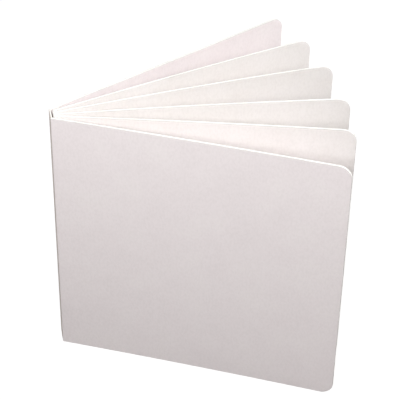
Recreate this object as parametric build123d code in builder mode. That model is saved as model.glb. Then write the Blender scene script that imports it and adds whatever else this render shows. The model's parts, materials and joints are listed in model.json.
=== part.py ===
"""Blank board book standing open on its lower edges, its boards fanned out from the spine.

The frame is in millimetres. The origin is at the foot of the pages' glued root, +X runs from the
spine towards the fore-edges, +Y from the front cover to the back cover, and +Z is up.
"""

import os

from build123d import *

# Driving dimensions
trim_size = 152.4  # a leaf is square: its height, and its width from folded root to fore-edge
board_thickness = 1.5
corner_radius = 7.0  # the two corners of each board at the fore-edge
strip_thickness = 1.0  # the single card of the cover that spans the spine
hollow_depth = 0.8  # air between that card and the roots of the leaves
leaf_pitch = 1.7  # spacing of the leaves' roots across the spine
fold_clearance = 0.3  # freedom of the covers' folds

# The fan: the heading of each board's chord from +X, and how far the board bows towards +Y
front_cover_heading, front_cover_bow = -25.7, 0.7
leaf_headings = (-14.4, -4.3, 7.4, 17.4)
leaf_bows = (0.85, 1.25, 1.4, 1.05)
back_cover_heading, back_cover_bow = 27.0, -0.2

# Worked out from those
half_board = board_thickness / 2
fold_radius = leaf_pitch / 2  # a gutter fold fills the space between two neighbouring roots
leaf_reach = trim_size - half_board
strip_inner_x = -half_board - hollow_depth
spine_face_x = strip_inner_x - strip_thickness
hinge_x = spine_face_x + half_board
hinge_y = 2.5 * board_thickness + fold_clearance
cover_reach = leaf_reach - hinge_x  # the closed book is trimmed flush at the fore-edge
strip_width = 2 * (hinge_y - half_board - fold_clearance)


def draw_board(root, heading, reach, bow):
    """Draw one board seen from above: a bowed strip with a rounded root and a square fore-edge."""
    along = Vector(reach, 0).rotate(Axis.Z, heading)
    across = Vector(0, bow).rotate(Axis.Z, heading)
    root = Vector(root)
    with BuildLine() as centre:
        ThreePointArc(root, root + along / 2 + across, root + along)
    trace(centre.line, line_width=board_thickness)
    with Locations(root):
        Circle(half_board)


def round_fore_edge(part):
    """Round the upper and lower corners of every board in the part at its fore-edge."""
    short_edges = part.edges().filter_by(lambda edge: edge.length < 2 * board_thickness)
    fillet(short_edges.filter_by_position(Axis.X, trim_size / 2, trim_size), radius=corner_radius)


# Pages: four leaves joined at the root, where each gutter between two leaves is a rounded fold
with BuildPart() as pages:
    with BuildSketch():
        for index, (heading, bow) in enumerate(zip(leaf_headings, leaf_bows)):
            draw_board((0, (index - 1.5) * leaf_pitch), heading, leaf_reach, bow)
        with GridLocations(0, leaf_pitch, 1, len(leaf_headings) - 1):
            Circle(fold_radius)
    extrude(amount=trim_size)
    round_fore_edge(pages)

# Covers: each board turns about the centre of its own rounded root
with BuildPart() as front_cover:
    with BuildSketch():
        draw_board((hinge_x, -hinge_y), front_cover_heading, cover_reach, front_cover_bow)
    extrude(amount=trim_size)
    round_fore_edge(front_cover)

with BuildPart() as back_cover:
    with BuildSketch():
        draw_board((hinge_x, hinge_y), back_cover_heading, cover_reach, back_cover_bow)
    extrude(amount=trim_size)
    round_fore_edge(back_cover)

# Spine: the middle panel of the cover card, standing clear of the roots behind it
with BuildPart() as spine:
    with BuildSketch():
        with Locations(((spine_face_x + strip_inner_x) / 2, 0)):
            Rectangle(strip_thickness, strip_width)
    extrude(amount=trim_size)

pages.part.label = "pages"
front_cover.part.label = "front_cover"
back_cover.part.label = "back_cover"
spine.part.label = "spine"

os.makedirs("parts", exist_ok=True)
export_step(pages.part, "parts/pages.step")
export_step(front_cover.part, "parts/front_cover.step")
export_step(back_cover.part, "parts/back_cover.step")
export_step(spine.part, "parts/spine.step")
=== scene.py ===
"""Look of the blank board book: its boards, folds and spine card, and a studio to see it in.

Lengths are in metres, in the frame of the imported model: +X runs from the spine towards the
fore-edges, +Y from the front cover to the back cover, and +Z is up.
"""
import json
import math

import bmesh
import bpy
from mathutils import Matrix, Vector


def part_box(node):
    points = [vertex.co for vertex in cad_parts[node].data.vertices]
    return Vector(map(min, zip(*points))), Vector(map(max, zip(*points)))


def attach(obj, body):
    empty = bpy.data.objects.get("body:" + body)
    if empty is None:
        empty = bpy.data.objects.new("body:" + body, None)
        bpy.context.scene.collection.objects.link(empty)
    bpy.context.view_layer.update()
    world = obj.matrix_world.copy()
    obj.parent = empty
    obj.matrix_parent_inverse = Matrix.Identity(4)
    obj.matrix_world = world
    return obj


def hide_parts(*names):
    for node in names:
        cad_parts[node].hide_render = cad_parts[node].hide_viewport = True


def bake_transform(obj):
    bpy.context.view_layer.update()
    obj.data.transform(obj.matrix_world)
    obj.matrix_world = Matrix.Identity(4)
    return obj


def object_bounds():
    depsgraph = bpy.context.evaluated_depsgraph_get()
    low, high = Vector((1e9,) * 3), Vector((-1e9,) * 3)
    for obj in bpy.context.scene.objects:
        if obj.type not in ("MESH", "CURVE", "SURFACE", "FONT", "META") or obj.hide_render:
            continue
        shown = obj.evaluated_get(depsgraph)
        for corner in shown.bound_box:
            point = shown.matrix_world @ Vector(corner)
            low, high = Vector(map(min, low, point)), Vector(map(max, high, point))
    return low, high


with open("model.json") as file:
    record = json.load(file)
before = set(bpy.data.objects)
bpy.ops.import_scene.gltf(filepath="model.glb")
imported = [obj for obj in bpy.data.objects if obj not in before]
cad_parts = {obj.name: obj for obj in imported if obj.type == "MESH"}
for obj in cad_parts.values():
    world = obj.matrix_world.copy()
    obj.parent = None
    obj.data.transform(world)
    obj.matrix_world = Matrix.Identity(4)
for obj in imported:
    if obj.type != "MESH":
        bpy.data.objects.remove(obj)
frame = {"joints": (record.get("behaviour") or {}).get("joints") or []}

cad_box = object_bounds()

# Sizes and places that the frame gives
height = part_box("pages")[1].z
strip_low, strip_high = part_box("spine")
hinge = {joint["child"]: Vector(joint["pos_m"]) for joint in frame["joints"]}

# Sizes of the boards
board_thickness = 0.0015
half_board = board_thickness / 2
corner_radius = 0.007
leaf_pitch = 0.0017
leaf_reach = height - half_board
cover_reach = leaf_reach - hinge["front_cover"].x

# The fan: each board's heading from +X in degrees, and how far it bows towards +Y
front_cover_heading, front_cover_bow = -25.7, 0.0007
leaf_headings = (-14.4, -4.3, 7.4, 17.4)
leaf_bows = (0.00085, 0.00125, 0.0014, 0.00105)
back_cover_heading, back_cover_bow = 27.0, -0.0002

# Fine shape of the cut edges and folds
arris = 0.00022  # the rounding that the press leaves along a cut edge
seam_width, seam_depth = 0.00016, 0.00007  # hairline between the two glued sheets of a board
strip_crown = 0.00012  # how far the spine card's outer face stands out at its middle
strip_end_gap = 0.0004  # from each end of the spine card to the axis of the fold beside it
fold_set_back = 0.0001  # the folds between leaves end this far inside the leaves' cut edges

# Steps of the meshes
columns = 56  # of a board, from its root to its fore-edge
rows = 24  # of a board's straight height
corner_steps = 10
arris_steps = 4
root_steps = 12
strip_steps = 16
fold_steps = 28


def piece(name, vertices, faces, materials, face_materials=None, smooth_angle=35):
    """A new object from mesh data, with its normals outwards."""
    mesh = bpy.data.meshes.new(name)
    mesh.from_pydata(vertices, [], faces)
    for material in materials:
        mesh.materials.append(material)
    if face_materials:
        mesh.polygons.foreach_set("material_index", face_materials)
    builder = bmesh.new()
    builder.from_mesh(mesh)
    bmesh.ops.remove_doubles(builder, verts=builder.verts, dist=1e-7)
    bmesh.ops.recalc_face_normals(builder, faces=builder.faces)
    for face in builder.faces:
        face.smooth = True
    for edge in builder.edges:
        edge.smooth = edge.calc_face_angle(0) < math.radians(smooth_angle)
    builder.to_mesh(mesh)
    builder.free()
    thing = bpy.data.objects.new(name, mesh)
    bpy.context.scene.collection.objects.link(thing)
    return thing


# ---------------------------------------------------------------- materials

def colour_ramp(nodes, stops):
    """A ramp through (position, colour) stops."""
    ramp = nodes.new("ShaderNodeValToRGB")
    elements = ramp.color_ramp.elements
    while len(elements) < len(stops):
        elements.new(0.5)
    for element, (position, colour) in zip(elements, stops):
        element.position = position
        element.color = (*colour, 1)
    return ramp


def noise(nodes, links, coordinates, scale, detail, stretch=(1, 1, 1)):
    """Noise with that many cycles to a metre, over stretched object coordinates."""
    mapping = nodes.new("ShaderNodeMapping")
    mapping.inputs["Scale"].default_value = stretch
    links.new(coordinates.outputs["Object"], mapping.inputs["Vector"])
    texture = nodes.new("ShaderNodeTexNoise")
    texture.inputs["Scale"].default_value = scale
    texture.inputs["Detail"].default_value = detail
    links.new(mapping.outputs["Vector"], texture.inputs["Vector"])
    return texture


blotch_scale, blotch_detail = 55, 4
fibre_detail = 6
fleck_stops = [(0.3, (0.955, 0.953, 0.95)), (0.6, (1, 1, 1))]
sheen_spread = 0.06


def board_material(name, blotch_colours, fibre_scale, fibre_stretch, roughness, bump_height):
    """Paper board: slow colour blotches, fibres in colour and bump, and an uneven sheen."""
    material = bpy.data.materials.new(name)
    material.use_nodes = True
    nodes, links = material.node_tree.nodes, material.node_tree.links
    shader = nodes["Principled BSDF"]
    shader.inputs["IOR"].default_value = 1.45
    shader.inputs["Specular IOR Level"].default_value = 0.35
    coordinates = nodes.new("ShaderNodeTexCoord")

    blotches = noise(nodes, links, coordinates, blotch_scale, blotch_detail)
    tint = colour_ramp(nodes, list(zip((0.3, 0.5, 0.7), blotch_colours)))
    links.new(blotches.outputs["Fac"], tint.inputs["Fac"])

    fibres = noise(nodes, links, coordinates, fibre_scale, fibre_detail, fibre_stretch)
    fleck = colour_ramp(nodes, fleck_stops)
    links.new(fibres.outputs["Fac"], fleck.inputs["Fac"])
    mixed = nodes.new("ShaderNodeMix")
    mixed.data_type = "RGBA"
    mixed.blend_type = "MULTIPLY"
    mixed.inputs["Factor"].default_value = 1
    links.new(tint.outputs["Color"], mixed.inputs["A"])
    links.new(fleck.outputs["Color"], mixed.inputs["B"])
    links.new(mixed.outputs["Result"], shader.inputs["Base Color"])

    sheen = nodes.new("ShaderNodeMapRange")
    sheen.inputs["To Min"].default_value = roughness - sheen_spread
    sheen.inputs["To Max"].default_value = roughness + sheen_spread
    links.new(blotches.outputs["Fac"], sheen.inputs["Value"])
    links.new(sheen.outputs["Result"], shader.inputs["Roughness"])

    bump = nodes.new("ShaderNodeBump")
    bump.inputs["Strength"].default_value = 0.35
    bump.inputs["Distance"].default_value = bump_height
    links.new(fibres.outputs["Fac"], bump.inputs["Height"])
    links.new(bump.outputs["Normal"], shader.inputs["Normal"])
    return material


cover_face = board_material(
    "cover_board",
    [(0.855, 0.79, 0.795), (0.87, 0.805, 0.81), (0.88, 0.82, 0.82)],
    fibre_scale=900, fibre_stretch=(1, 1, 0.6), roughness=0.52, bump_height=0.00006)
page_face = board_material(
    "page_board",
    [(0.87, 0.83, 0.81), (0.885, 0.85, 0.83), (0.895, 0.86, 0.845)],
    fibre_scale=900, fibre_stretch=(1, 1, 0.6), roughness=0.55, bump_height=0.00006)
cut_edge = board_material(
    "cut_edge",
    [(0.87, 0.86, 0.82), (0.91, 0.90, 0.87), (0.93, 0.925, 0.90)],
    fibre_scale=1500, fibre_stretch=(1, 1, 1), roughness=0.8, bump_height=0.0001)
# Darker grey on the eased arrises along every cut edge: painted shade that draws a thin dark line
# round the boards' edges
arris_painted_shade = board_material(
    "arris_painted_shade",
    [(0.62, 0.595, 0.575), (0.68, 0.655, 0.635), (0.74, 0.715, 0.695)],
    fibre_scale=1500, fibre_stretch=(1, 1, 1), roughness=0.7, bump_height=0.00006)
# The spine card is white board; this darker warm brown is painted shade for the spine's shadowed
# outer side
spine_painted_shade = board_material(
    "spine_card",
    [(0.63, 0.555, 0.50), (0.67, 0.595, 0.54), (0.70, 0.63, 0.575)],
    fibre_scale=1100, fibre_stretch=(1, 1, 0.4), roughness=0.6, bump_height=0.00008)


# ---------------------------------------------------------------- boards

def centre_line(root, heading, reach, bow):
    """A function of the distance u from the root: the place on the bowed line, and its left side."""
    radius = (reach ** 2 / 4 + bow ** 2) / (2 * bow)
    half_turn = math.asin(reach / (2 * radius))
    turn = Matrix.Rotation(math.radians(heading), 2)

    def at(u):
        angle = half_turn * (2 * u / reach - 1)
        chord = Vector((reach / 2 + radius * math.sin(angle), bow - radius * (1 - math.cos(angle))))
        side = Vector((math.sin(angle), math.cos(angle)))
        return root + turn @ chord, turn @ side

    return at


def edge_profile():
    """(inset, w) across a cut edge from one face to the other: arris, seam, arris."""
    quarter = [math.pi / 2 * step / arris_steps for step in range(arris_steps + 1)]
    first = [(arris * (1 - math.sin(a)), -half_board + arris * (1 - math.cos(a))) for a in quarter]
    seam = [(0, -seam_width / 2), (seam_depth, 0), (0, seam_width / 2)]
    last = [(inset, -w) for inset, w in reversed(first)]
    return first + seam + last


def board_rows(inset):
    """Each row of a board whose outline is set in by that much: its level, and how far it ends
    past the board's reach, which is a negative distance."""
    radius = corner_radius - inset
    corner = []
    for step in range(corner_steps + 1):
        angle = math.pi / 2 * step / corner_steps
        corner.append((corner_radius - radius * math.cos(angle),
                       radius * math.sin(angle) - corner_radius))
    straight = height - 2 * corner_radius
    middle = [(corner_radius + straight * step / rows, -inset) for step in range(1, rows)]
    return corner + middle + [(height - level, past) for level, past in reversed(corner)]


def board(name, root, heading, reach, bow, face_material):
    """A bowed board with round fore-edge corners, eased arrises, a seam and a half-round root."""
    at = centre_line(Vector(root), heading, reach, bow)
    vertices, faces, face_materials = [], [], []

    def add(u, v, w):
        """A vertex at u from the root, level v, and w to the left of the centre line."""
        place, side = at(u)
        place = place + side * w
        vertices.append((place.x, place.y, v))
        return len(vertices) - 1

    def quad(a, b, c, d, material):
        faces.append((a, b, c, d))
        face_materials.append(material)

    inner_rows = board_rows(arris)
    last_row = len(inner_rows) - 1

    def grid(w):
        return [[add((reach + past) * column / columns, v, w) for column in range(columns + 1)]
                for v, past in inner_rows]

    front, back_side = grid(-half_board), grid(half_board)
    for side in (front, back_side):
        for j in range(last_row):
            for i in range(columns):
                quad(side[j][i], side[j][i + 1], side[j + 1][i + 1], side[j + 1][i], 0)

    rim = [(0, i) for i in range(columns + 1)]
    rim += [(j, columns) for j in range(1, last_row + 1)]
    rim += [(last_row, i) for i in range(columns - 1, -1, -1)]
    profile = edge_profile()
    rings = [[front[j][i] for j, i in rim]]
    for inset, w in profile[1:-1]:
        inset_rows = board_rows(inset)
        rings.append([add((reach + inset_rows[j][1]) * i / columns, inset_rows[j][0], w)
                      for j, i in rim])
    rings.append([back_side[j][i] for j, i in rim])
    for number, (first, second) in enumerate(zip(rings, rings[1:])):
        # The arris faces take the darker painted shade, and the rest of the cut edge takes the cut
        # edge's own colour
        on_arris = number < arris_steps or number >= len(rings) - 1 - arris_steps
        for k in range(len(rim) - 1):
            quad(first[k], first[k + 1], second[k + 1], second[k], 2 if on_arris else 1)

    # The half-round root turns about the root's own axis, from one face to the other
    root_columns = [[row[0] for row in front]]
    place, side = at(0)
    along = Vector((side.y, -side.x))
    for step in range(1, root_steps):
        angle = math.pi * step / root_steps
        spot = place - along * half_board * math.sin(angle) - side * half_board * math.cos(angle)
        column = []
        for v, _ in inner_rows:
            vertices.append((spot.x, spot.y, v))
            column.append(len(vertices) - 1)
        root_columns.append(column)
    root_columns.append([row[0] for row in back_side])
    for first, second in zip(root_columns, root_columns[1:]):
        for j in range(last_row):
            quad(first[j], first[j + 1], second[j + 1], second[j], 0)

    # Each end of the root is closed by a fan from a point just inside it
    for row, level, ring_end in ((0, 0.0, 0), (last_row, height, -1)):
        loop = [ring[ring_end] for ring in rings]
        loop += [column[row] for column in reversed(root_columns[1:-1])]
        hub = place - along * half_board / 3
        vertices.append((hub.x, hub.y, level))
        centre = len(vertices) - 1
        for a, b in zip(loop, loop[1:] + loop[:1]):
            faces.append((a, b, centre))
            face_materials.append(1)

    return piece(name, vertices, faces, [face_material, cut_edge, arris_painted_shade], face_materials)


def root_of_leaf(index):
    """The centre of a leaf's root. The four roots stand evenly about the middle of the spine."""
    return Vector((0, (index - (len(leaf_headings) - 1) / 2) * leaf_pitch))


leaves = []
for index, (heading, bow) in enumerate(zip(leaf_headings, leaf_bows)):
    leaf = board(f"leaf_{index + 1}", root_of_leaf(index), heading, leaf_reach, bow, page_face)
    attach(leaf, "block")
    leaves.append(leaf)

cover_fan = {
    "front_cover": (front_cover_heading, front_cover_bow),
    "back_cover": (back_cover_heading, back_cover_bow),
}
for body, (heading, bow) in cover_fan.items():
    panel = board(body + "_board", hinge[body].xy, heading, cover_reach, bow, cover_face)
    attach(panel, body)
    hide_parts(body)


# ---------------------------------------------------------------- folds and spine

def inward_normals(outline):
    """The direction into the outline at each of its points, whichever way round it runs."""
    points = [Vector(point) for point in outline]
    runs = [b - a for a, b in zip(points, points[1:] + points[:1])]
    area = sum(a.x * b.y - b.x * a.y for a, b in zip(points, points[1:] + points[:1])) / 2
    turned = [Vector((-run.y, run.x)).normalized() * math.copysign(1, area) for run in runs]
    return [(a + b).normalized() for a, b in zip(turned[-1:] + turned[:-1], turned)]


def upright(name, outline, top, bottom, materials):
    """An outline in X and Y drawn up between two levels, with its ends' arrises eased."""
    quarter = [math.pi / 2 * step / arris_steps for step in range(arris_steps + 1)]
    eased = [(arris * (1 - math.cos(a)), arris * (1 - math.sin(a))) for a in quarter]
    levels = [(bottom + rise, inset) for rise, inset in eased]
    levels += [(top - rise, inset) for rise, inset in reversed(eased)]
    inward = inward_normals(outline)
    count = len(outline)
    vertices, faces, face_materials = [], [], []
    for level, inset in levels:
        for point, direction in zip(outline, inward):
            spot = Vector(point) + direction * inset
            vertices.append((spot.x, spot.y, level))
    for k in range(len(levels) - 1):
        for i in range(count):
            j = (i + 1) % count
            faces.append((k * count + i, k * count + j, (k + 1) * count + j, (k + 1) * count + i))
            face_materials.append(0)
    faces.append(tuple(range(count)))
    faces.append(tuple(range(len(vertices) - count, len(vertices))))
    face_materials += [1, 1]
    return piece(name, vertices, faces, materials, face_materials)


def circle(centre, radius):
    """Points round a circle."""
    turns = [2 * math.pi * step / fold_steps for step in range(fold_steps)]
    return [centre + radius * Vector((math.cos(turn), math.sin(turn))) for turn in turns]


fold_radius = leaf_pitch / 2
folds = []
for index in range(len(leaves) - 1):
    gutter = (root_of_leaf(index) + root_of_leaf(index + 1)) / 2
    fold = upright(f"fold_{index + 1}", circle(gutter, fold_radius),
                   height - fold_set_back, fold_set_back, [page_face, cut_edge])
    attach(fold, "block")
    folds.append(fold)
for part in leaves + folds:
    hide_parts("pages")


def spine_outline():
    """The spine card in plan: flat inside, very slightly round outside, its ends in the folds."""
    reach = hinge["back_cover"].y - strip_end_gap
    outside = []
    for step in range(strip_steps + 1):
        y = -reach + 2 * reach * step / strip_steps
        outside.append((strip_low.x + strip_crown * (y / reach) ** 2, y))
    return outside + [(strip_high.x, reach), (strip_high.x, -reach)]


spine = upright("spine_strip", spine_outline(), height, 0.0, [spine_painted_shade, cut_edge])
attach(spine, "block")
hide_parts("spine")


# The outermost inner sheets cross the covers' hinges. Each shows as a thin sheet in the gutter
hinge_sheet_thickness = 0.0002
hinge_sheet_reach = 0.007  # how far it is laid on each board before it is lost in the face
hinge_sheet_lift = 0.00006  # its centre line above the face, beside the bend
hinge_sheet_sink = 0.00022  # how far it goes down from there by its end
hinge_sheet_margin = 0.0002  # from its head and tail to the boards' own
leaf_bend, cover_bend = 0.0006, 0.002  # where the bend begins and ends, from the two roots
bend_handle = 0.0008  # how far it runs on towards the spine before it turns
bend_steps = 10
lay_steps = 6


def evenly(first, last, steps):
    """Values from the first to the last in that many steps."""
    return [first + (last - first) * step / steps for step in range(steps + 1)]


def hinge_sheet(body, leaf_index, cover_side):
    """The sheet between a cover and its nearest leaf. cover_side is -1 in front and 1 behind."""
    leaf_at = centre_line(root_of_leaf(leaf_index), leaf_headings[leaf_index], leaf_reach,
                          leaf_bows[leaf_index])
    cover_heading, cover_bow = cover_fan[body]
    cover_at = centre_line(hinge[body].xy, cover_heading, cover_reach, cover_bow)

    def laid(at, u, side, bend):
        """A point on a board's face, sinking into the face away from the bend."""
        place, left = at(u)
        away = (u - bend) / (hinge_sheet_reach - bend)
        return place + left * side * (half_board + hinge_sheet_lift - hinge_sheet_sink * away)

    path = [laid(leaf_at, u, cover_side, leaf_bend)
            for u in evenly(hinge_sheet_reach, leaf_bend, lay_steps)]
    cover_path = [laid(cover_at, u, -cover_side, cover_bend)
                  for u in evenly(cover_bend, hinge_sheet_reach, lay_steps)]
    start, end = path[-1], cover_path[0]
    in_turn = start + (path[-1] - path[-2]).normalized() * bend_handle
    out_turn = end - (cover_path[1] - cover_path[0]).normalized() * bend_handle
    for k in range(1, bend_steps):
        t = k / bend_steps
        path.append(start * (1 - t) ** 3 + in_turn * 3 * t * (1 - t) ** 2
                    + out_turn * 3 * t ** 2 * (1 - t) + end * t ** 3)
    path += cover_path

    outline = []
    for direction in (1, -1):
        for k in range(len(path))[::direction]:
            run = path[min(k + 1, len(path) - 1)] - path[max(k - 1, 0)]
            side = Vector((-run.y, run.x)).normalized() * hinge_sheet_thickness / 2
            outline.append(path[k] + side * direction)
    count = len(outline)
    ends = (hinge_sheet_margin, height - hinge_sheet_margin)
    vertices = [(spot.x, spot.y, level) for level in ends for spot in outline]
    faces = [(k, (k + 1) % count, count + (k + 1) % count, count + k) for k in range(count)]
    for k in range(len(path) - 1):
        mirrored = count - 1 - k
        faces.append((k, k + 1, mirrored - 1, mirrored))
        faces.append((count + k, count + k + 1, count + mirrored - 1, count + mirrored))
    sheet = piece(body + "_hinge_sheet", vertices, faces, [page_face], smooth_angle=60)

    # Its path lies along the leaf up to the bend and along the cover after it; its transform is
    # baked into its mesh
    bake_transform(sheet)


hinge_sheet("front_cover", 0, -1)
hinge_sheet("back_cover", 3, 1)


# ---------------------------------------------------------------- studio

def area_light(name, place, aim, size, power):
    """A square soft light turned to its aim."""
    lamp = bpy.data.lights.new(name, "AREA")
    lamp.size = size
    lamp.energy = power
    thing = bpy.data.objects.new(name, lamp)
    thing.location = place
    thing.rotation_euler = (Vector(aim) - Vector(place)).to_track_quat("-Z", "Y").to_euler()
    bpy.context.scene.collection.objects.link(thing)


def seen_directly(nodes, links):
    """1 for rays from the camera, glossy rays and transmitted rays, and 0 for the rest."""
    path = nodes.new("ShaderNodeLightPath")
    total = path.outputs["Is Camera Ray"]
    for output in ("Is Glossy Ray", "Is Transmission Ray"):
        larger = nodes.new("ShaderNodeMath")
        larger.operation = "MAXIMUM"
        links.new(total, larger.inputs[0])
        links.new(path.outputs[output], larger.inputs[1])
        total = larger.outputs[0]
    return total


def make_world(fill):
    """Faint fill light from all round, seen as white."""
    world = bpy.data.worlds.new("studio")
    bpy.context.scene.world = world
    world.use_nodes = True
    nodes, links = world.node_tree.nodes, world.node_tree.links
    nodes.clear()
    light, white = nodes.new("ShaderNodeBackground"), nodes.new("ShaderNodeBackground")
    light.inputs["Color"].default_value = (1, 0.985, 0.97, 1)
    light.inputs["Strength"].default_value = fill
    mix, output = nodes.new("ShaderNodeMixShader"), nodes.new("ShaderNodeOutputWorld")
    white.inputs["Color"].default_value = (1, 1, 1, 1)
    links.new(seen_directly(nodes, links), mix.inputs["Fac"])
    links.new(light.outputs[0], mix.inputs[1])
    links.new(white.outputs[0], mix.inputs[2])
    links.new(mix.outputs[0], output.inputs["Surface"])


def make_floor():
    """A wide pale floor, white to the eye, that keeps the object's soft shadow."""
    half = 4.0
    pale = (0.25, 0.245, 0.24, 1)  # what it throws back at the book
    shadow_floor = 0.84  # how bright it still looks in full shadow
    mesh = bpy.data.meshes.new("floor")
    mesh.from_pydata([(-half, -half, 0), (half, -half, 0), (half, half, 0), (-half, half, 0)],
                     [], [(0, 1, 2, 3)])
    floor = bpy.data.objects.new("floor", mesh)
    bpy.context.scene.collection.objects.link(floor)
    material = bpy.data.materials.new("floor")
    material.use_nodes = True
    nodes, links = material.node_tree.nodes, material.node_tree.links
    nodes.clear()
    matte, glow = nodes.new("ShaderNodeBsdfDiffuse"), nodes.new("ShaderNodeEmission")
    matte.inputs["Color"].default_value = pale
    glow.inputs["Color"].default_value = (1, 1, 1, 1)
    glow.inputs["Strength"].default_value = shadow_floor
    total, mix = nodes.new("ShaderNodeAddShader"), nodes.new("ShaderNodeMixShader")
    output = nodes.new("ShaderNodeOutputMaterial")
    links.new(matte.outputs[0], total.inputs[0])
    links.new(glow.outputs[0], total.inputs[1])
    links.new(seen_directly(nodes, links), mix.inputs["Fac"])
    links.new(matte.outputs[0], mix.inputs[1])
    links.new(total.outputs[0], mix.inputs[2])
    links.new(mix.outputs[0], output.inputs["Surface"])
    mesh.materials.append(material)


def make_camera():
    """A long lens, looking down at the book from the front cover's side."""
    place = Vector((-0.05072, -0.62446, 0.58189))
    yaw, pitch, roll = math.radians(11.433), math.radians(37.838), math.radians(1.037)
    forward = Vector((math.sin(yaw) * math.cos(pitch), math.cos(yaw) * math.cos(pitch),
                      -math.sin(pitch)))
    right = Vector((math.cos(yaw), -math.sin(yaw), 0))
    up = right.cross(forward)
    image_x = right * math.cos(roll) + up * math.sin(roll)
    image_y = up * math.cos(roll) - right * math.sin(roll)
    lens = bpy.data.cameras.new("camera")
    lens.sensor_width = 36
    lens.lens = 134.84
    lens.clip_start = 0.05
    camera = bpy.data.objects.new("camera", lens)
    camera.matrix_world = Matrix.Translation(place) @ Matrix(
        (image_x, image_y, -forward)).transposed().to_4x4()
    bpy.context.scene.collection.objects.link(camera)
    bpy.context.scene.camera = camera


book_centre = (cad_box[0] + cad_box[1]) / 2
area_light("right", (1.0, 0.0, 0.6), book_centre, size=0.6, power=8.8)
area_light("front_above", (-0.15, -0.35, 0.5), book_centre, size=0.3, power=3.08)
area_light("right_above", (0.25, -0.25, 0.45), book_centre, size=0.25, power=0.3)
area_light("behind", (0.15, 1.1, 0.3), book_centre, size=0.6, power=4.0)
make_world(fill=0.08)
make_floor()
make_camera()
bpy.context.scene.view_settings.view_transform = "Standard"
